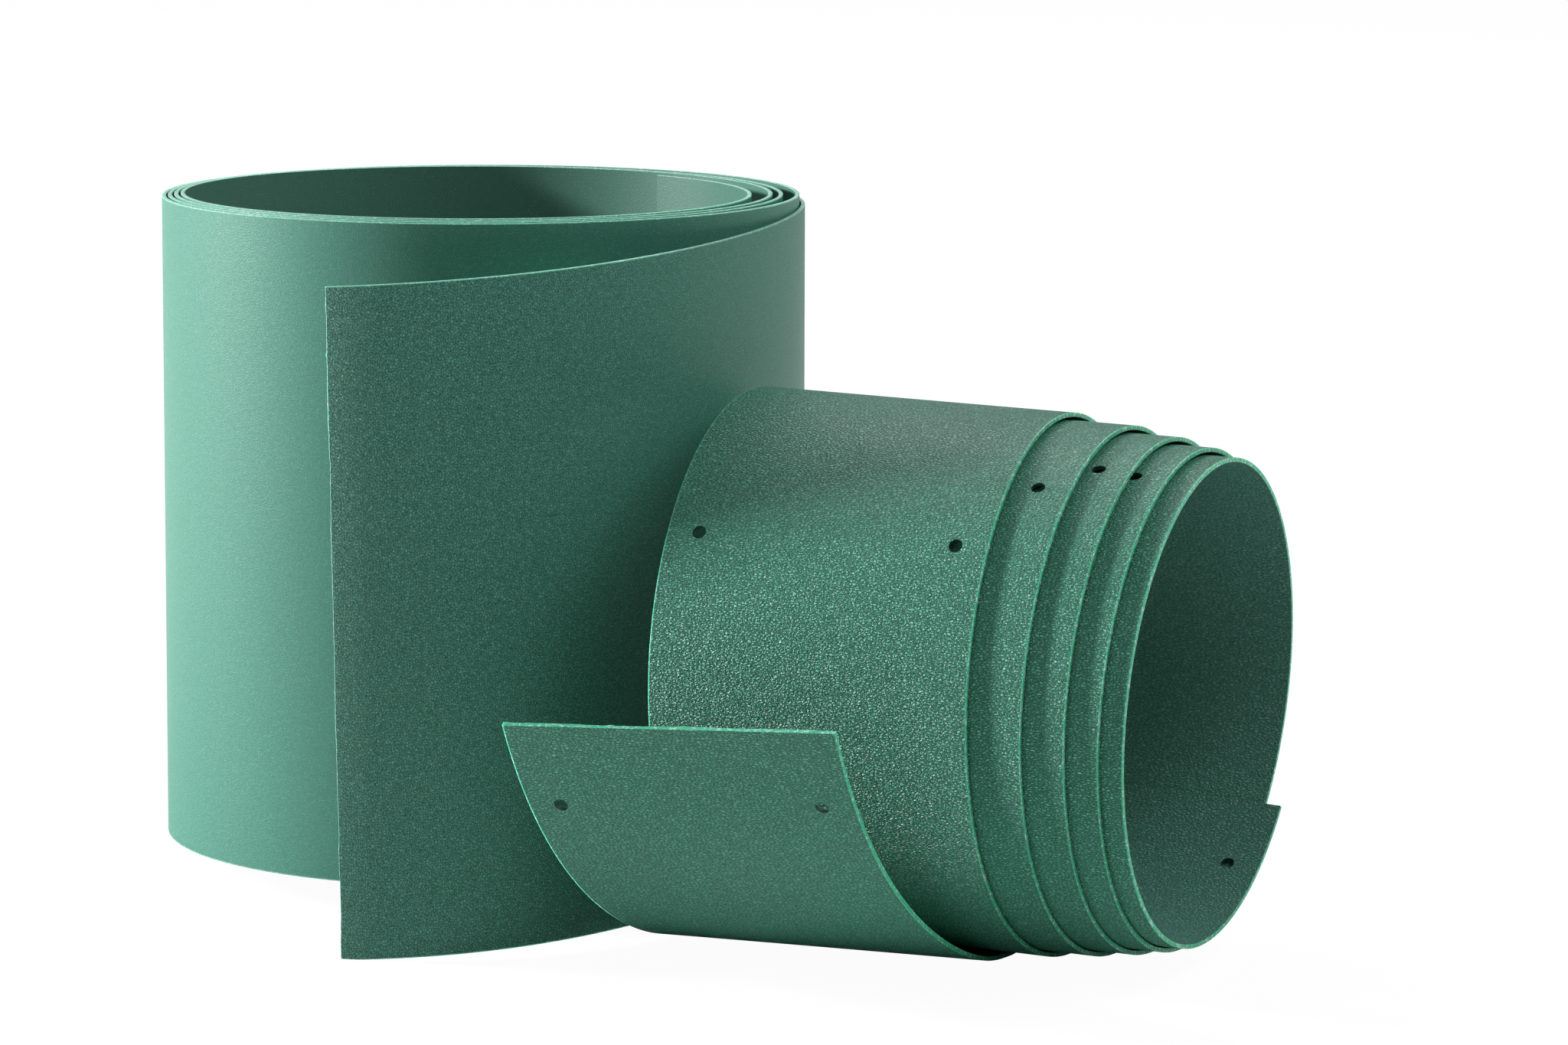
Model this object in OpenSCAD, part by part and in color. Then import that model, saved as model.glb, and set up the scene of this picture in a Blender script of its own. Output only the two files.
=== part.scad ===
// Two rolls of embossed PVC fence screening strip, wound up but not tied.
// The wide plain strip stands on its edge, leans back a little, and has its free end
// peeled off to the front. The narrow strip, which has pairs of fixing holes, lies on
// its round side in front of it. It is telescoped to the right, and its free end is
// peeled up to the front. X runs along the lying roll, Z = 0 is the ground.

/* [Both strips] */
// Thickness of both strips
strip_t = 1.2; // [0.8:0.1:1.6]
// Clear gap between turns that lie tight on each other
turn_gap = 0.45; // [0.45:0.05:1]
// Rings that one turn is divided into
turn_rings = 48; // [24:12:60]
// Depth of the flat that each roll stands on
foot_flat = 0.5; // [0.3:0.1:0.6]

/* [Plain strip, the standing roll] */
// Width of the plain strip, which is the height of its roll
plain_w = 190; // [120:5:240]
// Half of the roll's width, where its outer turn starts
plain_half_w = 95.5; // [88:0.5:105]
// Half of the roll's depth, where its outer turn starts
plain_half_d = 99.5; // [90:0.5:106]
// Turns from the right of the roll to the inner end
plain_turns = 4.12; // [2:0.01:4.5]
// Slack of one turn at the loose side of the coil
plain_slack = 6; // [0:0.5:8]
// Direction of the loose side, from the front round over the right
plain_slack_dir = 150; // [90:5:210]
// Share of that slack in the second, third and fourth turn
plain_slack_shares = [1, 0.45, 1.55]; // [0:0.05:2]
// Rise of each turn above the one round it
plain_rise = 0.3; // [0:0.1:1]
// How far the free end's lower corner hangs below the coil
plain_drop = 14.3; // [6:0.1:18]
// Fall of the outer turn on its way from the left to the right side
plain_fall = 2.8; // [0:0.1:4]
// Distance of the free end to the left of the roll's middle
tail_left = 36.3; // [20:0.1:60]
// Distance of the free end in front of the roll's middle
tail_front = 132; // [120:0.5:140]
// Angle at which the free end curls back
tail_curl = 14.5; // [0:0.5:20]
// Slant of the free end's hand-made cut, over the strip's width
tail_slant = 3.3; // [0:0.1:6]

/* [Perforated strip, the lying roll] */
// Width of the perforated strip
perf_w = 95; // [80:1:110]
// Outer radius where the first turn touches the ground
perf_r = 76.2; // [60:0.1:90]
// Turns from the ground contact to the inner end
perf_turns = 5.15; // [2:0.01:6]
// Slack of the first turn at its top
perf_slack = 2.3; // [0.5:0.1:5]
// How much of that slack each later turn loses
perf_slack_loss = 0.5; // [0:0.1:1]
// Sideways step of the first turn
perf_step = 17.4; // [4:0.1:20]
// Half of what each later turn steps less
perf_step_loss = 1.3; // [0:0.1:1.5]
// How far the top of the first turn lags behind that step
perf_lag = 2; // [0:0.1:3]
// Lean of the later turns to the right, as run to rise
perf_lean = 0.03; // [0:0.005:0.06]
// Reach of the free end to the front of the ground contact
flap_reach = 130.3; // [115:0.1:140]
// Distance of the free end's middle to the left of the ground contact
flap_left = 2.6; // [0:0.1:12]
// How far the free end's route is drawn to the right on its way up
flap_sway = 7.8; // [0:0.1:12]
// Height of the free end's middle above the ground
flap_height = 86.6; // [70:0.1:95]
// Twist of the strip at its free end
flap_twist = 5.7; // [0:0.1:10]
// Diameter of the fixing holes
hole_d = 4; // [3:0.1:5]
// Distance of the holes' middles from the strip's edges
hole_margin = 9.5; // [5:0.5:20]
// Distance from one pair of holes to the next along the strip
hole_pitch = 223.9; // [150:0.1:300]
// Distance of the first pair from the strip's free end
hole_start = 27.3; // [15:0.1:40]

/* [Places] */
// Angle from the lying roll's axis to the standing roll's front
plain_turned = 24.7; // [0:0.1:35]
// How far the standing roll's middle is behind the lying roll's ground contact
plain_behind = 41; // [20:0.1:60]
// Clearance between the two rolls where they all but touch
roll_gap = 0.3; // [0.2:0.1:2]
// Lying roll's ground contact, measured from the middle of the whole
perf_place = [71.1, -8]; // [-40:0.1:80]

/* [Hidden] */
turn_pitch = strip_t + turn_gap;
// Spacing of the rings along both free ends
ring_step = 10;
up = [0, 0, 1];
right = [1, 0, 0];
// Length over which the slant of the free end's cut fades out
slant_fade = 40;
// How far a hole is cut beyond both faces of the strip
hole_reach = 0.3;
hole_spacing = perf_w - 2 * hole_margin;
// The standing roll leans back until its rear edge is as low as its free end's corner
plain_lean = atan(plain_drop / (tail_front + plain_half_d));
plain_base = plain_half_d * sin(plain_lean) - foot_flat;

function mix(a, b, t) = a + (b - a) * t;

function unit(v) = v / norm(v);

// Point at t on the Bezier curve through the control points p
function bezier(p, t) =
    len(p) == 1 ? p[0] : bezier([for (i = [0 : len(p) - 2]) mix(p[i], p[i + 1], t)], t);

function bell(x, middle, width) = exp(-pow((x - middle) / width, 2));

// Places of a coil's rings, in turns, so that the rings of all turns line up
function ring_places(turns) = [
    for (i = [0 : ceil(turns * turn_rings) - 1]) i / turn_rings,
    turns
];

// Distance along a line of points, from its first point to each of them
function running_length(p) = [
    for (i = 0, run = 0; i < len(p); i = i + 1, run = run + (i < len(p) ? norm(p[i] - p[i - 1]) : 0)) run
];

// Direction in which a line of points runs at its point i
function heading(p, i) = unit(p[min(i + 1, len(p) - 1)] - p[max(i - 1, 0)]);

// Direction across a strip that runs along t, as near to v as it can be
function across(v, t) = unit(v - (v * t) * t);

// ---------------------------------------------------------------- plain strip

// Slack that the turns have taken up after n turns, as a share of plain_slack
function slack_taken(n) = let (s = plain_slack_shares) lookup(n, [
    [1, 0], [2, s[0]], [3, s[0] + s[1]], [4, s[0] + s[1] + s[2]], [5, s[0] + s[1] + 2 * s[2]]]);

// Outer face of the standing roll, n turns inward from its right side
function plain_point(n) = let (
    turn = 90 + 360 * n,
    loose = pow((1 + cos(turn - plain_slack_dir)) / 2, 2),
    inward = turn_pitch * n + plain_slack * loose * slack_taken(n),
    fall = n < 0.5 ? -plain_fall * pow(1 - 2 * n, 2) : plain_rise * (n - 0.5)
) [(plain_half_w - inward) * sin(turn), -(plain_half_d - inward) * cos(turn), fall];

// The free end leaves the roll's right side along its tangent and crosses its front.
// The two middle control points lie on the tangents at its ends.
tail_start = [plain_half_w, 0];
tail_end = [-tail_left, -tail_front];
tail_hold_start = 0.55;
tail_hold_end = 0.9;
tail_sink = 1.3;
tail_route = [
    tail_start,
    tail_start - tail_hold_start * [0, plain_half_w],
    tail_end + tail_hold_end * plain_half_w * [cos(tail_curl), -sin(tail_curl)],
    tail_end
];

// It sinks a little faster towards its end than near the roll
function tail_point(t) = let (
    p = bezier(tail_route, t),
    hang = mix(plain_fall, plain_drop, pow(t, tail_sink))
) [p.x, p.y, -hang];

tail_rings = ceil(norm(tail_end - tail_start) / ring_step);

// Both edges of the outer face, from the free end to the inner end
plain_line = [
    for (i = [tail_rings : -1 : 1]) tail_point(i / tail_rings),
    for (n = ring_places(plain_turns)) plain_point(n)
];
plain_run = running_length(plain_line);

function plain_face() = [for (i = [0 : len(plain_line) - 1]) let (
    t = heading(plain_line, i),
    slant = tail_slant / 2 * max(0, 1 - plain_run[i] / slant_fade) * t
) [plain_line[i] + slant, plain_line[i] + plain_w * up - slant]];

// ----------------------------------------------------------- perforated strip

// Outer radius of the lying roll, n turns inward from its ground contact
function perf_radius(n) =
    perf_r - turn_pitch * n + (perf_slack - perf_slack_loss * n) * (1 - cos(360 * n)) / 2;

// The lag is largest just before the first turn's top. The lean sets in over lean_turns.
lag_at = 0.44;
lag_width = 0.19;
lean_turns = 1.5;

function perf_point(n) = let (
    r = perf_radius(n),
    height = perf_r - r * cos(360 * n),
    step = perf_step * n - perf_step_loss * n * n - perf_lag * bell(n, lag_at, lag_width),
    lean = perf_lean * (1 - exp(-n / lean_turns)) * height
) [step + lean, r * sin(360 * n), height];

// The free end stays on the ground at first, then bows up to the front. Its control
// points are given as shares of the way to its end, and the middle one adds the sway.
flap_end = [-flap_left, -flap_reach, flap_height];
flap_shares = [[0, 0, 0], [0.54, 0.32, 0], [0, 0.25, 0.1], [0.29, 0.73, 0.06], [1, 1, 1]];
flap_route = [for (i = [0 : 4]) [for (k = [0 : 2])
    flap_shares[i][k] * flap_end[k] + (i == 2 && k == 0 ? flap_sway : 0)]];

flap_rings = ceil(norm(flap_end) / ring_step);

// Middle line of the outer face, from the free end to the inner end
perf_line = [
    for (i = [flap_rings : -1 : 1]) bezier(flap_route, i / flap_rings),
    for (n = ring_places(perf_turns)) perf_point(n)
];
perf_run = running_length(perf_line);

// Twist of the strip about its own line, which is all in the free end
function perf_twist(i) = flap_twist * max(0, 1 - i / flap_rings);

// Frame at a place along the strip: middle, direction across it, outward direction
function perf_frame(i) = let (
    low = floor(i),
    high = min(low + 1, len(perf_line) - 1),
    t = unit(mix(heading(perf_line, low), heading(perf_line, high), i - low)),
    flat = across(right, t),
    turned = flat * cos(perf_twist(i)) - cross(t, flat) * sin(perf_twist(i))
) [mix(perf_line[low], perf_line[high], i - low), turned, cross(t, turned)];

function perf_face() = [for (i = [0 : len(perf_line) - 1]) let (f = perf_frame(i))
    [f[0] - perf_w / 2 * f[1], f[0] + perf_w / 2 * f[1]]];

// Place in perf_line of a distance along the strip
function perf_index(run) = lookup(run, [for (i = [0 : len(perf_run) - 1]) [perf_run[i], i]]);

// ---------------------------------------------------------------- where they meet

// Horizontal section of the standing roll's right side at a height above the ground,
// from front to back, as [y, x] from the roll's middle. Where the roll's lower edge is
// higher than that, there is nothing to meet and x is 0.
function plain_section(height) = [
    for (i = [floor(tail_rings / 4) : tail_rings + turn_rings / 8]) let (
        x = plain_line[i].x,
        y = plain_line[i].y / cos(plain_lean) + (height - plain_base) * tan(plain_lean),
        edge = plain_base - plain_line[i].y * sin(plain_lean) + plain_line[i].z * cos(plain_lean),
        reach = edge > height + strip_t + roll_gap ? 0 : x * cos(plain_turned) - y * sin(plain_turned)
    ) [x * sin(plain_turned) + y * cos(plain_turned), reach]
];

// The standing roll is moved to the right until it all but meets the lying roll's left
// edge: its free end or its first turn
plain_x = min([for (i = [0 : flap_rings + turn_rings]) let (edge = perf_face()[i][0])
    edge.x - lookup(edge.y - plain_behind, plain_section(edge.z - foot_flat))]) - roll_gap;

// ------------------------------------------------------------------ fixing holes

hole_pairs = floor((perf_run[len(perf_run) - 1] - hole_start) / hole_pitch);

// ------------------------------------------------------------------ checks

// Distance from a point to the straight piece from a to b
function to_piece(point, a, b) = let (way = b - a, share = (point - a) * way / (way * way))
    norm(point - a - max(0, min(1, share)) * way);

// Least gap from the inner face of one turn to the outer face of the turns inside it,
// seen along the roll, from the points of its middle line
function least_gap(line, along) = let (
    flat = [for (p = line) cross(p, along)],
    outward = [for (i = [0 : len(line) - 1]) unit(cross(cross(heading(line, i), along), along))]
) min([
    for (i = [1 : len(line) - 2 - turn_rings / 2], j = [i + turn_rings / 2 : len(line) - 2])
        to_piece(flat[i] - strip_t * outward[i], flat[j], flat[j + 1])
]);

echo("Least gap in the standing roll in mm", least_gap(plain_line, up));
echo("Least gap in the lying roll in mm", least_gap(perf_line, right));
echo("Standing roll's middle, from the lying roll's ground contact, in mm", [plain_x, plain_behind]);

// ------------------------------------------------------------------ solids

// Strip of even thickness, from the two edges of its outer face
module strip(face) {
    last = len(face) - 1;
    function inward(i) = let (t = unit(face[min(i + 1, last)][0] + face[min(i + 1, last)][1]
        - face[max(i - 1, 0)][0] - face[max(i - 1, 0)][1]))
        unit(cross(face[i][1] - face[i][0], t)) * strip_t;
    points = [for (i = [0 : last]) each
        [face[i][0], face[i][1], face[i][1] + inward(i), face[i][0] + inward(i)]];
    sides = [for (i = [0 : last - 1], k = [0 : 3]) let (a = 4 * i + k, b = 4 * i + (k + 1) % 4)
        each [[a, b, a + 4], [b, b + 4, a + 4]]];
    ends = [[0, 2, 1], [0, 3, 2], [4 * last, 4 * last + 1, 4 * last + 2],
        [4 * last, 4 * last + 2, 4 * last + 3]];
    polyhedron(points, concat(sides, ends));
}

// Takes off what is below the ground, so that a roll stands on a flat
module on_ground() {
    ground = 1000;
    difference() {
        children();
        translate([-ground / 2, -ground / 2, -ground]) cube(ground);
    }
}

module hole_at(f, side) {
    z = f[2];
    turn = acos(z.z);
    translate(f[0] + side * hole_spacing / 2 * f[1])
        rotate([0, turn, atan2(z.y, z.x)])
            translate([0, 0, -strip_t - hole_reach])
                cylinder(d = hole_d, h = strip_t + 2 * hole_reach, $fn = 24);
}

module plain_strip_roll() {
    color("#5f9d89")
        on_ground()
            translate(concat(perf_place + [plain_x, plain_behind], plain_base))
                rotate([-plain_lean, 0, plain_turned])
                    strip(plain_face());
}

module perforated_strip_roll() {
    color("#4c8573")
        on_ground()
            translate(concat(perf_place, -foot_flat))
                difference() {
                    strip(perf_face());
                    for (k = [0 : hole_pairs], side = [-1, 1])
                        hole_at(perf_frame(perf_index(hole_start + k * hole_pitch)), side);
                }
}

plain_strip_roll();
perforated_strip_roll();
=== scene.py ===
# %% [markdown]
# # Two rolls of embossed fence strip
#
# Fence screening strip is a long band of PVC that is clipped or woven into a panel fence
# to stop the view. It is sold wound up. This scene dresses two such rolls: a wide plain
# one that stands on its edge, and a narrow one with fixing holes that lies in front of it.
#
# Both are made the way the factory makes them: a flat band gets its length, its width,
# its thickness and its holes first, and is wound up last. So every turn keeps its full
# thickness, and the embossing can follow the band by its flat measurements.

# %% Load the frame
import math

import bpy
import numpy as np
from mathutils import Matrix, Vector, noise


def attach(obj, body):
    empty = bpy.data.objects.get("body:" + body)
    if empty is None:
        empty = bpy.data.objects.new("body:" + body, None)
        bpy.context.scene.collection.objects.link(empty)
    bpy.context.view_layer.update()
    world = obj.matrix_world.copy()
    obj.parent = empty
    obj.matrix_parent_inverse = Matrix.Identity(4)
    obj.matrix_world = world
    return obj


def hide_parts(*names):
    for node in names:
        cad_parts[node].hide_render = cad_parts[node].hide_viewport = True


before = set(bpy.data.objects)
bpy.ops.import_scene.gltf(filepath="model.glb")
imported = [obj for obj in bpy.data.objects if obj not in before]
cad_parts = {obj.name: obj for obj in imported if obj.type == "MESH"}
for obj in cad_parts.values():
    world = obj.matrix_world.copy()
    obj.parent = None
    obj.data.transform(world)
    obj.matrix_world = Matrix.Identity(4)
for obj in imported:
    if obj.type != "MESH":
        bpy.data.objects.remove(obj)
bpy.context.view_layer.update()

MM = 0.001
bpy.context.scene.view_settings.view_transform = "Standard"

# %% [markdown]
# ## The camera
#
# The rolls are seen from the front right and a little from above, with a long lens, so
# that the standing roll keeps its upright sides. The camera comes first, because every
# later choice of detail depends on how large a millimetre is in the picture.

# %% Place the camera
CAMERA_PLACE = Vector((806.0, -1669.8, 488.2)) * MM
CAMERA_TURN = math.radians(24.67)      # round the vertical, from looking along +Y
CAMERA_TILT = math.radians(78.49)      # 90 degrees would be level
CAMERA_ROLL = math.radians(0.17)
LENS = 150.8
SIGHT_LIMIT = 20                       # in metres, past the floor's far corner

camera = bpy.data.objects.new("camera", bpy.data.cameras.new("camera"))
bpy.context.scene.collection.objects.link(camera)
camera.location = CAMERA_PLACE
camera.rotation_euler = (
    Matrix.Rotation(CAMERA_TURN, 3, "Z")
    @ Matrix.Rotation(CAMERA_TILT, 3, "X")
    @ Matrix.Rotation(CAMERA_ROLL, 3, "Z")
).to_euler()
camera.data.lens = LENS
camera.data.clip_end = SIGHT_LIMIT
bpy.context.scene.camera = camera
print("camera is", round(CAMERA_PLACE.length, 3), "m from the origin")

# %% [markdown]
# ## The line that each strip follows
#
# A wound strip is a flat band that is carried along a line: here the line of its outer
# face. Each line has two parts. The coil is a formula, a radius that shrinks by one pitch
# a turn, with some slack where the turns have sprung apart. The free end is a smooth
# Bezier curve that leaves the coil along its tangent. All sizes are in millimetres.

# %% Sizes that both strips share
STRIP_T = 1.2               # thickness of both strips
TURN_GAP = 0.45             # clear gap between turns that lie tight on each other
TURN_PITCH = STRIP_T + TURN_GAP
FOOT_FLAT = 0.5             # depth of the flat that each roll stands on
SAMPLES_PER_TURN = 720
SAMPLES_FREE_END = 400
UP = np.array([0.0, 0.0, 1.0])
RIGHT = np.array([1.0, 0.0, 0.0])


def unit(v):
    return v / np.linalg.norm(v, axis=-1, keepdims=True)


def bezier(controls, t):
    """Points at t, an array from 0 to 1, on the Bezier curve through the controls."""
    points = np.repeat(np.array(controls, float)[:, None, :], len(t), axis=1)
    while len(points) > 1:
        points = points[:-1] + (points[1:] - points[:-1]) * t[None, :, None]
    return points[0]


def running_length(line):
    """Distance along a line of points, from its first point to each of them."""
    return np.concatenate([[0.0], np.cumsum(np.linalg.norm(np.diff(line, axis=0), axis=1))])


def bell(x, middle, width):
    return np.exp(-(((x - middle) / width) ** 2))


# %% [markdown]
# ## The plain strip's line
#
# The wide strip stands on its edge. Its turns lie tight at one side and have sprung apart
# at the other. The free end is peeled off the right side, crosses the front and hangs a
# little lower than the coil, so the whole roll leans back by that much.

# %% Line of the standing roll
PLAIN_W = 190.0             # the strip's width, which is the height of its roll
PLAIN_HALF_W = 95.5         # half of the roll's width, where its outer turn starts
PLAIN_HALF_D = 99.5         # half of its depth there
PLAIN_TURNS = 4.12
PLAIN_SLACK = 6.0           # slack of one turn at the loose side
PLAIN_SLACK_DIR = math.radians(150)    # the loose side, from the front round over the right
PLAIN_SLACK_TAKEN = ([1, 2, 3, 4, 5], [0, 1, 1.45, 3, 4.55])    # turns, and slack taken by then
PLAIN_RISE = 0.3            # of each turn above the one round it
PLAIN_DROP = 14.3           # how far the free end's lower corner hangs below the coil
PLAIN_FALL = 2.8            # of the outer turn, on its way from the left to the right
TAIL_END = np.array([-36.3, -132.0])    # from the roll's middle
TAIL_CURL = math.radians(14.5)    # how far the free end curls back
TAIL_SLANT = 3.3            # slant of its hand-made cut, over the strip's width
TAIL_HOLD_START = 0.55      # how far its curve is drawn along the coil
TAIL_HOLD_END = 0.9         # and along its own end, in half widths of the roll
TAIL_SINK = 1.3             # over 1, so that it sinks faster towards its end
SLANT_FADE = 40.0           # length over which the slant fades out


def plain_coil(n):
    """Outer face's lower edge, n turns inward from the roll's right side."""
    turn = math.pi / 2 + 2 * math.pi * n
    loose = ((1 + np.cos(turn - PLAIN_SLACK_DIR)) / 2) ** 2
    inward = TURN_PITCH * n + PLAIN_SLACK * loose * np.interp(n, *PLAIN_SLACK_TAKEN)
    rise = np.where(n < 0.5, -PLAIN_FALL * (1 - 2 * n) ** 2, PLAIN_RISE * (n - 0.5))
    return np.stack([
        (PLAIN_HALF_W - inward) * np.sin(turn),
        -(PLAIN_HALF_D - inward) * np.cos(turn),
        rise,
    ], axis=1)


def plain_tail(t):
    """Outer face's lower edge in the free end, from the coil at 0 to the cut at 1."""
    start = np.array([PLAIN_HALF_W, 0.0])
    leave = start - [0.0, TAIL_HOLD_START * PLAIN_HALF_W]
    reach = TAIL_HOLD_END * PLAIN_HALF_W
    arrive = TAIL_END + reach * np.array([math.cos(TAIL_CURL), -math.sin(TAIL_CURL)])
    flat = bezier([start, leave, arrive, TAIL_END], t)
    hang = PLAIN_FALL + (PLAIN_DROP - PLAIN_FALL) * t ** TAIL_SINK
    return np.column_stack([flat, -hang])


tail_steps = np.linspace(1, 0, SAMPLES_FREE_END, endpoint=False)
coil_steps = np.linspace(0, PLAIN_TURNS, int(PLAIN_TURNS * SAMPLES_PER_TURN))
plain_line = np.concatenate([plain_tail(tail_steps), plain_coil(coil_steps)])
plain_run = running_length(plain_line)
plain_length = plain_run[-1]
print("plain strip:", round(plain_length), "mm long,", round(PLAIN_W), "mm wide")

# %% [markdown]
# ## The perforated strip's line
#
# The narrow strip lies on its round side. Each turn has slipped a little further to the
# right, as a coil does when its middle is pushed out, which shows the edges of all turns
# as steps. Its free end stays on the ground at first and then bows up to the front.

# %% Line of the lying roll
PERF_W = 95.0               # the strip's width, half of the plain strip's
PERF_R = 76.2               # outer radius where the first turn touches the ground
PERF_TURNS = 5.15
PERF_SLACK = 2.3            # slack of the first turn at its top
PERF_SLACK_LOSS = 0.5       # what each later turn loses of it
PERF_STEP = 17.4            # sideways step of the first turn
PERF_STEP_LOSS = 1.3        # half of what each later turn steps less
PERF_LAG = 2.0              # how far the first turn's top lags behind that step
LAG_AT = 0.44               # where the lag is largest, in turns
LAG_WIDTH = 0.19
PERF_LEAN = 0.03            # lean of the later turns to the right, as run to rise
LEAN_TURNS = 1.5            # turns over which the lean sets in
FLAP_END = np.array([-2.6, -130.3, 86.6])    # from the ground contact
FLAP_SWAY = 7.8             # how far its route is drawn to the right on its way up
FLAP_TWIST = math.radians(5.7)    # of the strip about its own line, at its end
# Control points of the free end, as shares of the way to its end in each direction
FLAP_SHARES = np.array([
    [0, 0, 0], [0.54, 0.32, 0], [0, 0.25, 0.1], [0.29, 0.73, 0.06], [1, 1, 1],
])
FLAP_ROUTE = FLAP_SHARES * FLAP_END
FLAP_ROUTE[2, 0] += FLAP_SWAY


def perf_coil(n):
    """Middle of the outer face, n turns inward from the ground contact."""
    slack = (PERF_SLACK - PERF_SLACK_LOSS * n) * (1 - np.cos(2 * math.pi * n)) / 2
    radius = PERF_R - TURN_PITCH * n + slack
    height = PERF_R - radius * np.cos(2 * math.pi * n)
    step = PERF_STEP * n - PERF_STEP_LOSS * n**2 - PERF_LAG * bell(n, LAG_AT, LAG_WIDTH)
    lean = PERF_LEAN * (1 - np.exp(-n / LEAN_TURNS)) * height
    return np.stack([step + lean, radius * np.sin(2 * math.pi * n), height], axis=1)


flap_steps = np.linspace(1, 0, SAMPLES_FREE_END, endpoint=False)
coil_steps = np.linspace(0, PERF_TURNS, int(PERF_TURNS * SAMPLES_PER_TURN))
perf_line = np.concatenate([bezier(FLAP_ROUTE, flap_steps), perf_coil(coil_steps)])
perf_run = running_length(perf_line)
perf_length = perf_run[-1]
print("perforated strip:", round(perf_length), "mm long,", round(PERF_W), "mm wide")

# %% [markdown]
# ## The frame that carries the band
#
# A point of the flat band is given by x along it, y across it and z out of its outer
# face. At each x the line gives three directions to go with: along, across and outward.
# The standing roll's band stays upright where its free end sinks, and the lying roll's
# band is turned a few degrees about its own line at the free end.

# %% Directions along both lines
def frames(line, run, across, twist=None):
    """Unit directions along, across and outward at each point of a line."""
    along = unit(np.gradient(line, run, axis=0))
    across = np.broadcast_to(across, along.shape)
    if twist is not None:
        across = unit(across - (across * along).sum(1, keepdims=True) * along)
        turn = twist[:, None]
        across = across * np.cos(turn) - np.cross(along, across) * np.sin(turn)
    return along, across, unit(np.cross(along, across))


flap_share = np.clip(1 - np.arange(len(perf_line)) / SAMPLES_FREE_END, 0, 1)
plain_frames = frames(plain_line, plain_run, UP)
perf_frames = frames(perf_line, perf_run, RIGHT, FLAP_TWIST * flap_share)


def carried(points, line, run, directions):
    """Places of flat points (x, y, z) that are carried along a line, all in millimetres."""
    def at(values):
        return np.column_stack([np.interp(points[:, 0], run, values[:, k]) for k in range(3)])
    along, across, outward = directions
    before = np.minimum(points[:, 0], 0)[:, None] * at(along)   # burrs that stand past the end
    return at(line) + before + points[:, 1:2] * at(across) + points[:, 2:3] * at(outward)


# %% Places of both rolls
PERF_PLACE = np.array([71.1, -8.0])    # the lying roll's ground contact
# From there to the standing roll's middle. The CAD source works the first value out, so
# that the rolls come within 0.3 mm of each other and don't touch.
PLAIN_SHIFT = np.array([-145.751, 41.0])
PLAIN_TURNED = math.radians(24.7)    # from the lying roll's axis to this roll's front
# It leans back until its rear edge is as low as its free end's corner
PLAIN_LEAN = math.atan(PLAIN_DROP / (PLAIN_HALF_D - TAIL_END[1]))
PLAIN_BASE = PLAIN_HALF_D * math.sin(PLAIN_LEAN) - FOOT_FLAT


def plain_wound(flat):
    """Flat points of the plain strip, wound up and put in their place."""
    slant = TAIL_SLANT / 2 * np.clip(1 - flat[:, 0] / SLANT_FADE, 0, 1)
    sheared = flat.copy()
    sheared[:, 0] += slant * (1 - 2 * flat[:, 1] / PLAIN_W)
    points = carried(sheared, plain_line, plain_run, plain_frames)
    turn = Matrix.Rotation(PLAIN_TURNED, 3, "Z") @ Matrix.Rotation(-PLAIN_LEAN, 3, "X")
    points = points @ np.array(turn).T
    points += np.array([*(PERF_PLACE + PLAIN_SHIFT), PLAIN_BASE])
    return points


def perf_wound(flat):
    """Flat points of the perforated strip, wound up and put in their place."""
    centred = flat - np.array([0, PERF_W / 2, 0])
    points = carried(centred, perf_line, perf_run, perf_frames)
    return points + np.array([*PERF_PLACE, -FOOT_FLAT])


# %% [markdown]
# ## A flat band
#
# The factory extrudes the strip through a flat die, embosses one face with a roller and
# slits the edges. The band starts as a grid with a row every 1.6 mm, so that it can bend.
# It gets finer rows at both ends, because a cut by hand is a little wavy and has burrs.

# %% Make a flat band
ROW = 1.6           # spacing of the band's rows along it
COLUMN = 9.5        # spacing of its columns across it
CUT_DEPTH = 3.0     # how far the finer rows of a hand-made cut reach into the band
CUT_SPLITS = 9      # cuts between one of those rows or columns and the next


def only(piece):
    """Selects one piece alone and makes it the active one."""
    bpy.ops.object.select_all(action="DESELECT")
    piece.select_set(True)
    bpy.context.view_layer.objects.active = piece


def select_faces(piece, wanted):
    """Selects the faces whose middle and normal are wanted, in face mode."""
    only(piece)
    bpy.ops.object.mode_set(mode="EDIT")
    bpy.ops.mesh.select_mode(type="FACE")
    bpy.ops.mesh.select_all(action="DESELECT")
    bpy.ops.object.mode_set(mode="OBJECT")
    for face in piece.data.polygons:
        face.select = bool(wanted(face))
    bpy.ops.object.mode_set(mode="EDIT")


def flat_band(name, length, width):
    """A grid in the ground plane, from its free end at x = 0 and one edge at y = 0."""
    bpy.ops.object.select_all(action="DESELECT")
    bpy.ops.mesh.primitive_grid_add(
        x_subdivisions=round(length / ROW), y_subdivisions=round(width / COLUMN), size=1,
    )
    band = bpy.context.object
    band.name = name
    bpy.ops.object.mode_set(mode="EDIT")
    bpy.ops.transform.resize(value=(length * MM, width * MM, 1))
    bpy.ops.transform.translate(value=(length * MM / 2, width * MM / 2, 0))
    bpy.ops.object.mode_set(mode="OBJECT")
    far_cut = length - CUT_DEPTH
    select_faces(band, lambda f: f.center.x < CUT_DEPTH * MM or f.center.x > far_cut * MM)
    bpy.ops.mesh.subdivide(number_cuts=CUT_SPLITS)
    bpy.ops.object.mode_set(mode="OBJECT")
    return band


plain_strip = flat_band("plain_strip", plain_length, PLAIN_W)
perf_strip = flat_band("perforated_strip", perf_length, PERF_W)
for band in (plain_strip, perf_strip):
    print(band.name, "is flat, with", len(band.data.vertices), "points")

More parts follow.
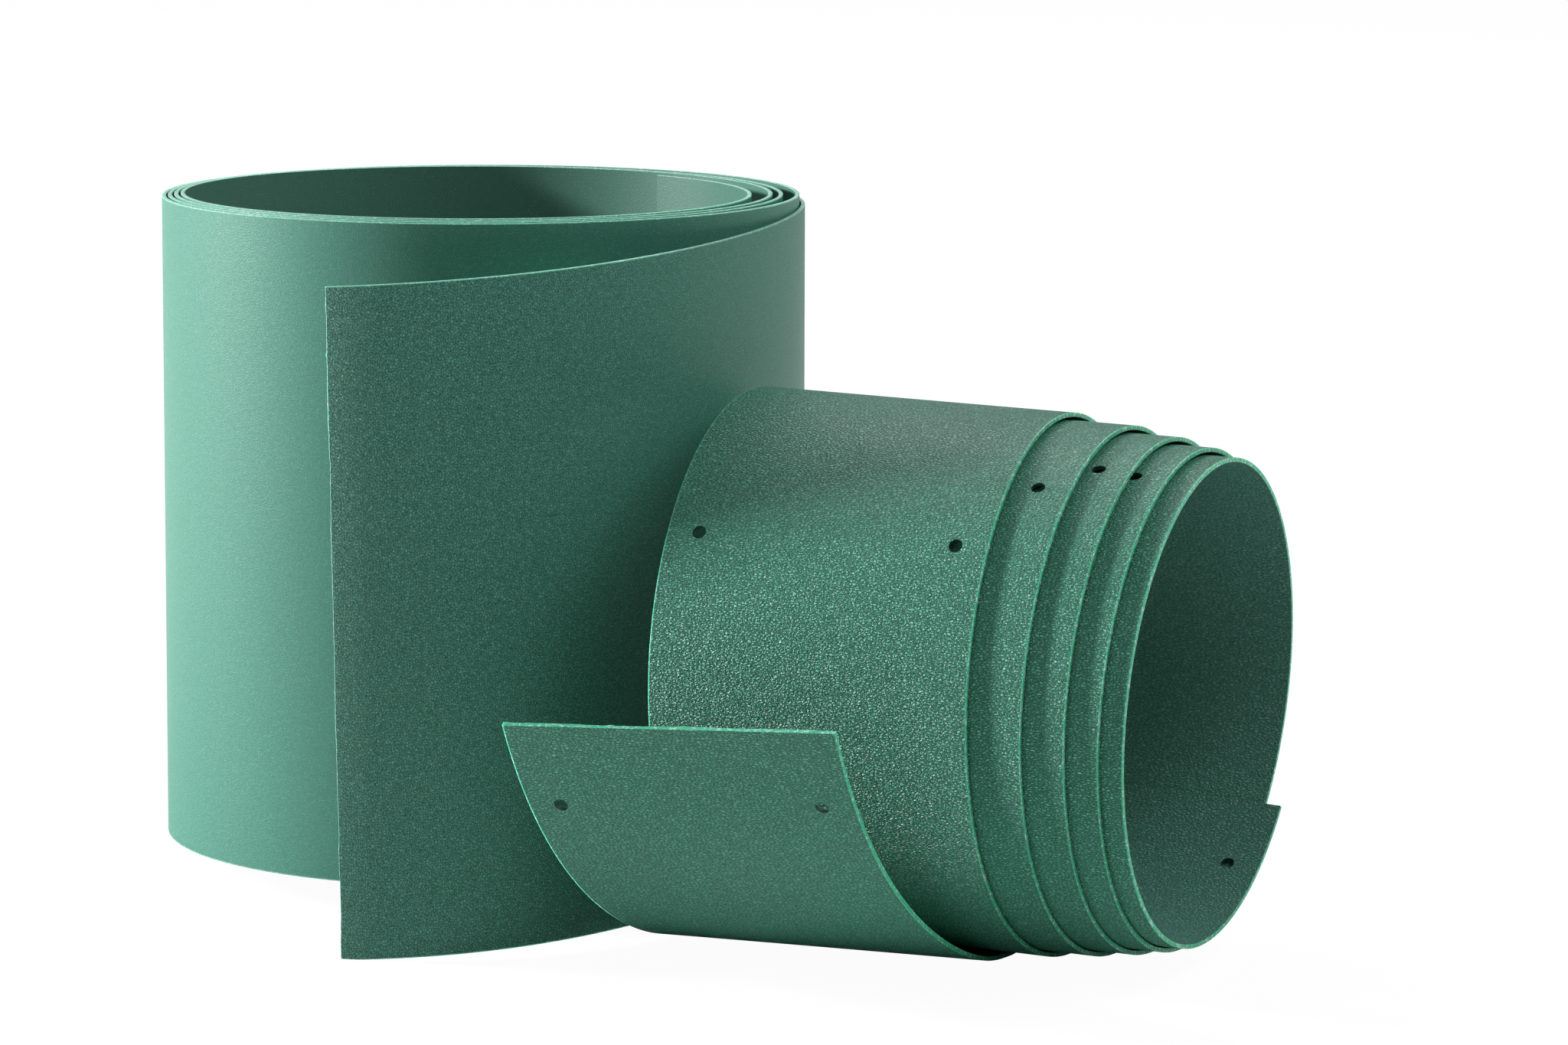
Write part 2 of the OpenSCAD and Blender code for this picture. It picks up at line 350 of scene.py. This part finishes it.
# %% [markdown]
# ## The cut ends
#
# Both free ends were cut by hand. The knife wandered by a few tenths of a millimetre, and
# it left short burrs. Smooth noise gives the slow wander, and a few narrow bells at fixed
# places give the burrs. The inner ends get the same wander from other noise, without burrs.

# %% Roughen the cut ends
SLOW_WANDER = (0.35, 17)        # how far the knife strays, and over what length
FINE_WANDER = (0.12, 2.6)
FINE_SEED = 7                   # added to the seed, so that the two don't move together
CUT_BACK = 0.2                  # keeps most of a cut inside the band's full length
PLAIN_BURRS = [(31, 0.3, 0.6), (122, 0.25, 0.5), (171, 0.35, 0.7)]  # place, length, half width
PERF_BURRS = [(0.8, 0.35, 0.8), (31, 0.4, 0.7), (52, 0.3, 1.2), (88, 0.2, 0.8)]


def wander(y, seed, amplitude, wave):
    """Smooth noise along y, in millimetres. The 0.5 keeps it off the noise's own grid,
    where it is always 0."""
    return np.array([amplitude * noise.noise(Vector((v / wave, seed, 0.5))) for v in y])


def rough_cut(band, length, seed, burrs):
    """Shifts the first and last few millimetres of a band along it."""
    points = np.array([v.co for v in band.data.vertices]) / MM
    for end, way in ((0.0, 1), (length, -1)):
        near = np.clip(1 - np.abs(points[:, 0] - end) / CUT_DEPTH, 0, 1)
        y = points[:, 1]
        shift = wander(y, seed + end, *SLOW_WANDER)
        shift = shift + wander(y, seed + FINE_SEED + end, *FINE_WANDER)
        if end == 0:
            for place, size, width in burrs:
                shift = shift - size * bell(y, place, width)
        points[:, 0] += way * near * (shift + CUT_BACK)
    band.data.vertices.foreach_set("co", (points * MM).ravel())
    band.data.update()


rough_cut(plain_strip, plain_length, 3.1, PLAIN_BURRS)
rough_cut(perf_strip, perf_length, 8.4, PERF_BURRS)
print("cut ends with", len(PLAIN_BURRS), "and", len(PERF_BURRS), "burrs")

# %% [markdown]
# ## Thickness and fixing holes
#
# Solidify gives the band its 1.2 mm below the outer face. The fixing holes are punched in
# pairs, one near each edge. One punch is modelled and copied to every place, and a
# Boolean takes them all out at once. Holes cut before the winding follow the band's bend
# by themselves. A narrow bevel then breaks the sharp corners, because no real corner is
# perfectly sharp, and a broken one catches the light.

# %% Thicken the bands
def apply(piece, kind, **settings):
    only(piece)
    modifier = piece.modifiers.new(kind.lower(), kind)
    for name, value in settings.items():
        setattr(modifier, name, value)
    bpy.ops.object.modifier_apply(modifier=modifier.name)


for band in (plain_strip, perf_strip):
    apply(band, "SOLIDIFY", thickness=STRIP_T * MM, offset=-1)
    print(band.name, "is", STRIP_T, "mm thick")

# %% Punch the holes
HOLE_R = 2.0
HOLE_MARGIN = 9.5           # from the strip's edges to the holes' middles
HOLE_PITCH = 223.9          # from one pair to the next, along the strip
HOLE_START = 27.3           # from the free end to the first pair
HOLE_SIDES = 28
PUNCH_LENGTH = 4 * STRIP_T      # reaches well past both faces

pairs = int((perf_length - HOLE_START) // HOLE_PITCH) + 1
bpy.ops.object.select_all(action="DESELECT")
bpy.ops.mesh.primitive_cylinder_add(
    vertices=HOLE_SIDES, radius=HOLE_R * MM, depth=PUNCH_LENGTH * MM,
)
punch = bpy.context.object
punches = [punch]
for pair in range(pairs):
    for y in (HOLE_MARGIN, PERF_W - HOLE_MARGIN):
        copy = punch.copy()
        copy.data = punch.data.copy()
        bpy.context.scene.collection.objects.link(copy)
        copy.location = Vector((HOLE_START + pair * HOLE_PITCH, y, 0)) * MM
        punches.append(copy)
bpy.data.objects.remove(punches.pop(0))
bpy.ops.object.select_all(action="DESELECT")
for copy in punches:
    copy.select_set(True)
bpy.context.view_layer.objects.active = punches[0]
bpy.ops.object.join()
punch = bpy.context.object
apply(perf_strip, "BOOLEAN", operation="DIFFERENCE", solver="EXACT", object=punch)
bpy.data.objects.remove(punch)
print(pairs, "pairs of holes")

# %% Break the sharp corners
CORNER = 0.12
SHARP_ANGLE = math.radians(60)

for band in (plain_strip, perf_strip):
    apply(band, "BEVEL", width=CORNER * MM, segments=1, limit_method="ANGLE",
          angle_limit=SHARP_ANGLE, use_clamp_overlap=True)
    print(band.name, len(band.data.polygons), "faces")

# %% [markdown]
# ## Clean faces round the holes
#
# The Boolean leaves faces with many corners round each hole, some of them in one line.
# Left alone, the export would cut such a face into slivers without area. So each is cut
# into well shaped triangles here, and points that fall together are merged.

# %% Tidy the faces round the holes
FLAT_FACE = 0.001       # edges and faces that are smaller than this are merged away

for band in (plain_strip, perf_strip):
    select_faces(band, lambda f: len(f.vertices) > 4)
    bpy.ops.mesh.quads_convert_to_tris(quad_method="BEAUTY", ngon_method="BEAUTY")
    bpy.ops.mesh.select_all(action="SELECT")
    bpy.ops.mesh.dissolve_degenerate(threshold=FLAT_FACE * MM)
    bpy.ops.object.mode_set(mode="OBJECT")
    most = max(len(face.vertices) for face in band.data.polygons)
    print(band.name, len(band.data.polygons), "faces, with up to", most, "corners")

# %% [markdown]
# ## Winding
#
# Blender's Curve modifier could wind a band as well, but it would turn the band about its
# line in its own way. Here every vertex goes to the place that the line's three
# directions give it, so the wound band follows the same line as its solid. The flat place
# of each corner is kept as a UV map in metres: the embossing is drawn on that map.

# %% Keep the flat places and choose a finish for each face
FACING = 0.9            # a face that looks this straight up or down is an outer or inner one
NO_HOLE_ENDS = 5        # no hole wall lies this near an end of the band
NO_HOLE_SIDES = 2       # or this near one of its sides
OUTER, INNER, SLIT, PUNCHED = range(4)


def keep_flat_map(mesh, flat):
    """A UV map that holds each corner's place on the flat band, in metres."""
    while mesh.uv_layers:
        mesh.uv_layers.remove(mesh.uv_layers[0])
    band_map = mesh.uv_layers.new(name="band")
    corner = np.zeros(len(mesh.loops), np.int32)
    mesh.loops.foreach_get("vertex_index", corner)
    band_map.data.foreach_set("uv", (flat[corner, :2] * MM).ravel())


def choose_finishes(mesh, flat):
    """Outer and inner faces by where they look, hole walls by how far in they lie."""
    normal = np.zeros(len(mesh.polygons) * 3)
    mesh.polygons.foreach_get("normal", normal)
    facing = normal.reshape(-1, 3)[:, 2]
    finish = np.where(facing > FACING, OUTER, np.where(facing < -FACING, INNER, SLIT))
    middle = np.zeros(len(mesh.polygons) * 3)
    mesh.polygons.foreach_get("center", middle)
    x, y = middle.reshape(-1, 3)[:, :2].T / MM
    off_ends = np.minimum(x, flat[:, 0].max() - x) > NO_HOLE_ENDS
    off_sides = np.minimum(y, flat[:, 1].max() - y) > NO_HOLE_SIDES
    finish[(finish == SLIT) & off_ends & off_sides] = PUNCHED
    mesh.polygons.foreach_set("material_index", finish.astype(np.int32))


# %% Wind both bands
SMOOTH_ANGLE = math.radians(30)


def wind(band, wound):
    flat = np.array([v.co for v in band.data.vertices]) / MM
    keep_flat_map(band.data, flat)
    choose_finishes(band.data, flat)
    points = wound(flat)
    points[:, 2] = np.maximum(points[:, 2], 0)      # the weight presses it flat on the ground
    band.data.vertices.foreach_set("co", (points * MM).ravel())
    band.data.update()
    only(band)
    bpy.ops.object.shade_smooth_by_angle(angle=SMOOTH_ANGLE)
    print(band.name, "is", round(points[:, 2].max(), 1), "mm high, wound up")


for band in (plain_strip, perf_strip):
    for made in ("embossed_pvc", "flattened_pvc", "slit_pvc_edge", "punched_pvc"):
        band.data.materials.append(bpy.data.materials.new(band.name + "_" + made))
plain_strip.data.materials.pop(index=PUNCHED)      # the plain strip has no holes
wind(plain_strip, plain_wound)
wind(perf_strip, perf_wound)

# %% [markdown]
# ## The finishes
#
# The strip is soft PVC, dyed green through and through. A roller has pressed a fine
# leather-like grain into the outer face, which breaks its satin shine up into sparkles.
# The grain's hollows are painted darker, as painted shade, and the pebbles' tops paler and
# greyer, partly as scuffing and partly as painted sheen. The inner face shows a softer
# trace of such a grain, with less contrast. The slit edges have none. They look paler,
# partly because the plastic lets a little light through, and what enters at a lit face
# comes out there, and partly because their colours are painted pale, as painted sheen and
# glints.
#
# An image could hold the grain, but a Voronoi pattern draws round pebbles with creases
# between them by itself, on the flat map and at a size in millimetres.

# %% Helpers for materials
def linear(hex_colour):
    """An sRGB hex value as the linear colour that a socket takes."""
    values = [int(hex_colour[i:i + 2], 16) / 255 for i in (1, 3, 5)]
    return (*[v / 12.92 if v <= 0.04045 else ((v + 0.055) / 1.055) ** 2.4 for v in values], 1)


def add(tree, kind, inputs=None, **settings):
    """Adds a node with its settings; an input is a value or another node's output."""
    node = tree.nodes.new(kind)
    for name, value in settings.items():
        setattr(node, name, value)
    for socket, value in (inputs or {}).items():
        if isinstance(value, bpy.types.NodeSocket):
            tree.links.new(value, node.inputs[socket])
        else:
            node.inputs[socket].default_value = value
    return node


def empty_tree(material):
    material.use_nodes = True
    material.node_tree.nodes.clear()
    return material.node_tree


# %% The embossed grain
WARP_SCALE = 1.3        # bends of the creases per pebble
WARP = 0.9              # how far a crease is bent, in pebbles
CREASE_TO_TOP = 0.42    # distance from a crease to a pebble's top, in pebbles


def pebbles(tree, pitch, across, seed):
    """Height from 0 to 1 of rounded pebbles with that pitch in millimetres.
    across is how much longer they are across the band than along it."""
    flat_place = add(tree, "ShaderNodeUVMap", uv_map="band").outputs["UV"]
    mapped = add(tree, "ShaderNodeMapping", {
        "Vector": flat_place, "Location": (seed, seed, 0),
        "Scale": (1 / (pitch * MM), 1 / (pitch * across * MM), 1),
    }).outputs["Vector"]
    warp = add(tree, "ShaderNodeTexNoise", {
        "Vector": mapped, "Scale": WARP_SCALE, "Detail": 0.0,
    }, noise_dimensions="2D").outputs["Color"]
    shift = add(tree, "ShaderNodeVectorMath", {
        0: warp, 1: (0.5, 0.5, 0.5),
    }, operation="SUBTRACT").outputs[0]
    warped = add(tree, "ShaderNodeVectorMath", {
        0: shift, 1: (WARP, WARP, 0), 2: mapped,
    }, operation="MULTIPLY_ADD").outputs[0]
    from_crease = add(tree, "ShaderNodeTexVoronoi", {
        "Vector": warped, "Scale": 1.0, "Randomness": 1.0,
    }, feature="DISTANCE_TO_EDGE", voronoi_dimensions="2D").outputs["Distance"]
    return add(tree, "ShaderNodeMapRange", {
        "Value": from_crease, "From Min": 0.0, "From Max": CREASE_TO_TOP,
    }).outputs["Result"]


# %% The slit edges
PVC_IOR = 1.53
NICK_PITCH = 1.1                        # the knife's nicks lie about a millimetre apart
NICK_DEPTH = 0.15
# The knife's nicks are painted near white, as painted glints
NICK_GLINTS_FROM, NICK_GLINTS_TO = 0.5, 0.72        # range of the noise over which a nick sets in
SLIT_ROUGHNESS = 0.45
LIGHT_REACH = 2.5                       # how far green light travels inside the strip
COLOUR_REACH = (0.35, 1.0, 0.75)        # of red, green and blue light, as shares of that
# The slit edge's pale look is painted onto the face's rim and widens the edge line: partly
# light let through, partly a painted highlight.
RIM_FULL, RIM_END = 0.2, 0.4            # the edge shows through this far in from the rim


def slit_shader(tree, colours):
    """A slit edge: no grain, the knife's short nicks painted bright as glints, and light from
    inside, on colours that are partly painted sheen and painted light.
    """
    place = add(tree, "ShaderNodeTexCoord").outputs["Object"]
    fine = add(tree, "ShaderNodeTexNoise", {
        "Vector": place, "Scale": 1 / (NICK_PITCH * MM), "Detail": 1.0,
    }).outputs["Fac"]
    nicks = add(tree, "ShaderNodeMapRange", {
        "Value": fine, "From Min": NICK_GLINTS_FROM, "From Max": NICK_GLINTS_TO,
    }, interpolation_type="SMOOTHSTEP").outputs["Result"]
    # The nicks' near-white colour is painted glints on the rough cut
    colour = add(tree, "ShaderNodeMix", {
        "Factor": nicks, "A": linear(colours[0]), "B": linear(colours[1]),
    }, data_type="RGBA").outputs["Result"]
    bump = add(tree, "ShaderNodeBump", {
        "Height": fine, "Distance": NICK_DEPTH * MM, "Strength": 1.0,
    })
    return add(tree, "ShaderNodeBsdfPrincipled", {
        "Base Color": colour, "Roughness": SLIT_ROUGHNESS,
        "Subsurface Weight": 1.0, "Subsurface Radius": COLOUR_REACH,
        "Subsurface Scale": LIGHT_REACH * MM, "IOR": PVC_IOR, "Normal": bump.outputs["Normal"],
    }).outputs["BSDF"]


def slit_pvc(material, colours):
    tree = empty_tree(material)
    add(tree, "ShaderNodeOutputMaterial", {"Surface": slit_shader(tree, colours)})


def near_edge(tree, length, width):
    """1 in the outermost fifth of a millimetre of a face, 0 from twice that far in."""
    flat_place = add(tree, "ShaderNodeUVMap", uv_map="band").outputs["UV"]
    place = add(tree, "ShaderNodeSeparateXYZ", {"Vector": flat_place})
    nearest = []
    for axis, size in (("X", length), ("Y", width)):
        start = place.outputs[axis]
        end = add(tree, "ShaderNodeMath", {0: size * MM, 1: start}, operation="SUBTRACT")
        nearer = add(tree, "ShaderNodeMath", {0: start, 1: end.outputs[0]}, operation="MINIMUM")
        nearest.append(nearer.outputs[0])
    distance = add(tree, "ShaderNodeMath", dict(enumerate(nearest)), operation="MINIMUM")
    return add(tree, "ShaderNodeMapRange", {
        "Value": distance.outputs[0], "From Min": RIM_FULL * MM, "From Max": RIM_END * MM,
        "To Min": 1.0, "To Max": 0.0,
    }).outputs["Result"]


# %% The embossed faces
FADE_FROM, FADE_TO = 0.03, 0.16         # stretch over which the grain gets fainter, in metres
EVEN_HEIGHT = 0.4                       # the height that a fainter grain fades to
HOLLOW_ROUGHNESS, TOP_ROUGHNESS = 0.5, 0.34


def embossed_pvc(material, colours, grain, shallow=1.0, rim=None):
    """Soft PVC with a grain rolled into it: paler and glossier on the pebbles' tops, where
    the paler colour is partly scuffing and partly painted sheen. The darker hollows are
    painted shade.
    grain is pitch, depth, stretch and seed. rim holds the band's length and width and the
    slit edge's colours, which the rim of the face takes on as a wider pale edge line: partly
    light let through, partly a painted highlight.

    shallow is the share of the grain that is drawn past the first 16 cm. The real grain
    is the same all along the strip: it is drawn fainter on the turns because the lens is
    left in focus everywhere, and a real lens would blur it there."""
    tree = empty_tree(material)
    pitch, depth, across, seed = grain
    flat_place = add(tree, "ShaderNodeUVMap", uv_map="band").outputs["UV"]
    along = add(tree, "ShaderNodeSeparateXYZ", {"Vector": flat_place}).outputs["X"]
    pressed = add(tree, "ShaderNodeMapRange", {
        "Value": along, "From Min": FADE_FROM, "From Max": FADE_TO,
        "To Min": 1.0, "To Max": shallow,
    }, interpolation_type="SMOOTHSTEP").outputs["Result"]
    height = add(tree, "ShaderNodeMix", {
        "Factor": pressed, "A": EVEN_HEIGHT, "B": pebbles(tree, pitch, across, seed),
    }, data_type="FLOAT").outputs["Result"]
    bump = add(tree, "ShaderNodeBump", {
        "Height": height, "Distance": depth * MM, "Strength": 1.0,
    })
    # Darker hollows are painted shade. Paler, greyer tops are partly scuffing and partly
    # painted sheen
    colour = add(tree, "ShaderNodeMix", {
        "Factor": height, "A": linear(colours[0]), "B": linear(colours[1]),
    }, data_type="RGBA").outputs["Result"]
    roughness = add(tree, "ShaderNodeMapRange", {
        "Value": height, "To Min": HOLLOW_ROUGHNESS, "To Max": TOP_ROUGHNESS,
    }).outputs["Result"]
    face = add(tree, "ShaderNodeBsdfPrincipled", {
        "Base Color": colour, "Roughness": roughness,
        "IOR": PVC_IOR, "Normal": bump.outputs["Normal"],
    }).outputs["BSDF"]
    # The face's rim takes the slit edge's pale look: partly light let through, partly a painted
    # highlight that widens the edge line
    if rim:
        length, width, edge_colours = rim
        face = add(tree, "ShaderNodeMixShader", {
            "Fac": near_edge(tree, length, width), 1: face, 2: slit_shader(tree, edge_colours),
        }).outputs["Shader"]
    add(tree, "ShaderNodeOutputMaterial", {"Surface": face})


# %% The punched walls
# The hole walls' dark colour is painted shade, as deep in a narrow hole
PUNCHED_SHADE_COLOUR = "#24503f"
PUNCHED_ROUGHNESS = 0.6


def punched_pvc(material):
    """The wall of a punched hole: dull, without grain and painted darker than the faces, as
    painted shade.
    """
    tree = empty_tree(material)
    shader = add(tree, "ShaderNodeBsdfPrincipled", {
        "Base Color": linear(PUNCHED_SHADE_COLOUR), "Roughness": PUNCHED_ROUGHNESS, "IOR": PVC_IOR,
    })
    add(tree, "ShaderNodeOutputMaterial", {"Surface": shader.outputs["BSDF"]})


# %% Colours and grains
# Hollow colours are painted shade. The paler, greyer top colours are partly scuffing and partly
# painted sheen. The same holds for the inner faces' pairs.
PLAIN_OUTER_COLOURS = ("#1f5c49", "#67bda6")    # the hollows, the pebbles' tops
PERF_OUTER_COLOURS = ("#22755b", "#77d4b9")
# The standing roll's inner colours are painted darker, as painted shade inside the roll, and
# the lying roll's paler, as painted light in its bore
PLAIN_INNER_COLOURS = ("#47796a", "#629685")
PERF_INNER_COLOURS = ("#4b8575", "#80bfad")
# Edge colours: the plain strip's greyish pale mint is painted sheen from the light above. The
# perforated strip's bright mint is partly light let through and partly painted light. The
# knife's near-white nicks are painted glints.
PLAIN_EDGE_COLOURS = ("#7dbaa5", "#b4dccc")     # the cut, the knife's nicks
PERF_EDGE_COLOURS = ("#50c69b", "#c4f4df")

# Pitch and depth in millimetres, stretch across the band, and a seed that shifts the
# pattern. A pebble of 0.7 mm covers about three pixels of a 2048 pixel wide picture. That
# is just enough to show, so the grain isn't made any coarser.
PLAIN_OUTER_GRAIN = (0.68, 0.11, 1.15, 0.0)
PERF_OUTER_GRAIN = (0.66, 0.34, 1.9, 5.0)
PLAIN_INNER_GRAIN = (0.80, 0.04, 1.2, 9.0)
PERF_INNER_GRAIN = (0.80, 0.22, 1.8, 14.0)
PLAIN_OUTER_SHALLOW = 0.3
PLAIN_INNER_SHALLOW = 0.5

# %% Finish both strips
plain_rim = (plain_length, PLAIN_W, PLAIN_EDGE_COLOURS)
perf_rim = (perf_length, PERF_W, PERF_EDGE_COLOURS)
plain_finish = plain_strip.data.materials
perf_finish = perf_strip.data.materials

# Embossed PVC, outer faces: satin, with a sparkle on each pebble, painted shade in the
# hollows, and tops that are partly scuffed and partly painted sheen
embossed_pvc(
    plain_finish[OUTER], PLAIN_OUTER_COLOURS, PLAIN_OUTER_GRAIN, PLAIN_OUTER_SHALLOW, plain_rim,
)
embossed_pvc(perf_finish[OUTER], PERF_OUTER_COLOURS, PERF_OUTER_GRAIN, rim=perf_rim)
# Flattened PVC, inner faces: a softer grain and less contrast, painted darker inside the
# standing roll as painted shade and paler in the lying roll's bore as painted light
embossed_pvc(
    plain_finish[INNER], PLAIN_INNER_COLOURS, PLAIN_INNER_GRAIN, PLAIN_INNER_SHALLOW,
)
embossed_pvc(perf_finish[INNER], PERF_INNER_COLOURS, PERF_INNER_GRAIN)
# Slit PVC, edges: pale lines that mark every turn, partly from light let through and partly
# painted sheen and glints
slit_pvc(plain_finish[SLIT], PLAIN_EDGE_COLOURS)
slit_pvc(perf_finish[SLIT], PERF_EDGE_COLOURS)
# Punched PVC, hole walls: dark rings of painted shade
punched_pvc(perf_finish[PUNCHED])
for finish in (*plain_finish, *perf_finish):
    print(finish.name, "has", len(finish.node_tree.nodes), "nodes")

# %% [markdown]
# ## Standing for the solids
#
# Each dressed strip takes the place of its CAD solid and moves with that solid's body.

# %% Tie the strips to the frame
for band, body, node, slot_name in (
    (plain_strip, "plain_roll", "plain_strip_roll", "plain_strip"),
    (perf_strip, "perforated_roll", "perforated_strip_roll", "perforated_strip"),
):
    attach(band, body)
    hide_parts(node)
    print(band.name, "rides on", body)

# %% [markdown]
# ## Floor and light
#
# A plain pale floor, and one small lamp low on the left as in a small studio. Low, it
# makes the grain show. Small, it lets each turn's edge throw a clear shadow on the next.
# Four large weak lamps, on the right, behind and at the front left, open the shadows.
# Dull faces get hardly any light from the surroundings, and shiny ones mirror a little
# of it. The camera sees floor and surroundings as white, and the floor keeps a faint
# shadow.

# %% Floor
FLOOR_SIZE = 12             # in metres
FLOOR_PAINT = "#f0f0f0"
FLOOR_WHITE = 1.035         # a little over white, to make up for the share of plain paint
FLOOR_WHITE_SHARE = 0.93    # the rest of the floor takes light and shadow

bpy.ops.object.select_all(action="DESELECT")
bpy.ops.mesh.primitive_plane_add(size=FLOOR_SIZE)
floor = bpy.context.object
floor.name = "floor"
floor_paint = bpy.data.materials.new("white_studio_floor")
tree = empty_tree(floor_paint)
matt = add(tree, "ShaderNodeBsdfDiffuse", {"Color": linear(FLOOR_PAINT)})
white = add(tree, "ShaderNodeEmission", {"Color": (1, 1, 1, 1), "Strength": FLOOR_WHITE})
seen = add(tree, "ShaderNodeLightPath").outputs["Is Camera Ray"]
share = add(tree, "ShaderNodeMath", {0: seen, 1: FLOOR_WHITE_SHARE}, operation="MULTIPLY")
both = add(tree, "ShaderNodeMixShader", {
    "Fac": share.outputs[0], 1: matt.outputs["BSDF"], 2: white.outputs["Emission"],
})
add(tree, "ShaderNodeOutputMaterial", {"Surface": both.outputs["Shader"]})
floor.data.materials.append(floor_paint)
print(floor.name, "is", FLOOR_SIZE, "m wide")

# %% Surroundings
EVEN_LIGHT = 0.02           # what dull faces get
MIRRORED_LIGHT = 0.12       # what reflections see on top of that

world = bpy.data.worlds.new("studio")
bpy.context.scene.world = world
tree = empty_tree(world)
rays = add(tree, "ShaderNodeLightPath")
mirrored = add(tree, "ShaderNodeMath", {
    0: rays.outputs["Is Glossy Ray"], 1: MIRRORED_LIGHT, 2: EVEN_LIGHT,
}, operation="MULTIPLY_ADD")
even = add(tree, "ShaderNodeBackground", {
    "Color": (1, 1, 1, 1), "Strength": mirrored.outputs[0],
})
white = add(tree, "ShaderNodeBackground", {"Color": (1, 1, 1, 1), "Strength": 1.0})
both = add(tree, "ShaderNodeMixShader", {
    "Fac": rays.outputs["Is Camera Ray"],
    1: even.outputs["Background"],
    2: white.outputs["Background"],
})
add(tree, "ShaderNodeOutputWorld", {"Surface": both.outputs["Shader"]})
print("surroundings:", EVEN_LIGHT, "for dull faces,", MIRRORED_LIGHT, "more in reflections")

# %% Lamps
LAMP_TARGET = Vector((0, 0, 0.09))
FILL = {"distance": 2.0, "size": 1.2}


def soft_lamp(name, azimuth, elevation, distance, size, power):
    """A square lamp that looks at the rolls. Azimuth is from +X round to +Y, in degrees,
    distance and size are in metres and power is in watts."""
    lamp = bpy.data.objects.new(name, bpy.data.lights.new(name, "AREA"))
    lamp.data.shape = "SQUARE"
    lamp.data.size = size
    lamp.data.energy = power
    bpy.context.scene.collection.objects.link(lamp)
    a, e = math.radians(azimuth), math.radians(elevation)
    away = Vector((math.cos(a) * math.cos(e), math.sin(a) * math.cos(e), math.sin(e)))
    lamp.location = LAMP_TARGET + away * distance
    lamp.rotation_euler = away.to_track_quat("Z", "Y").to_euler()
    print(name, "gives", power, "W")


soft_lamp("key_lamp", azimuth=195, elevation=17, distance=2.5, size=0.35, power=86)
soft_lamp("right_lamp", azimuth=5, elevation=52, power=13, **FILL)
soft_lamp("back_right_lamp", azimuth=50, elevation=30, power=7, **FILL)
soft_lamp("back_lamp", azimuth=120, elevation=38, power=13, **FILL)
soft_lamp("front_left_lamp", azimuth=255, elevation=20, power=2.5, **FILL)
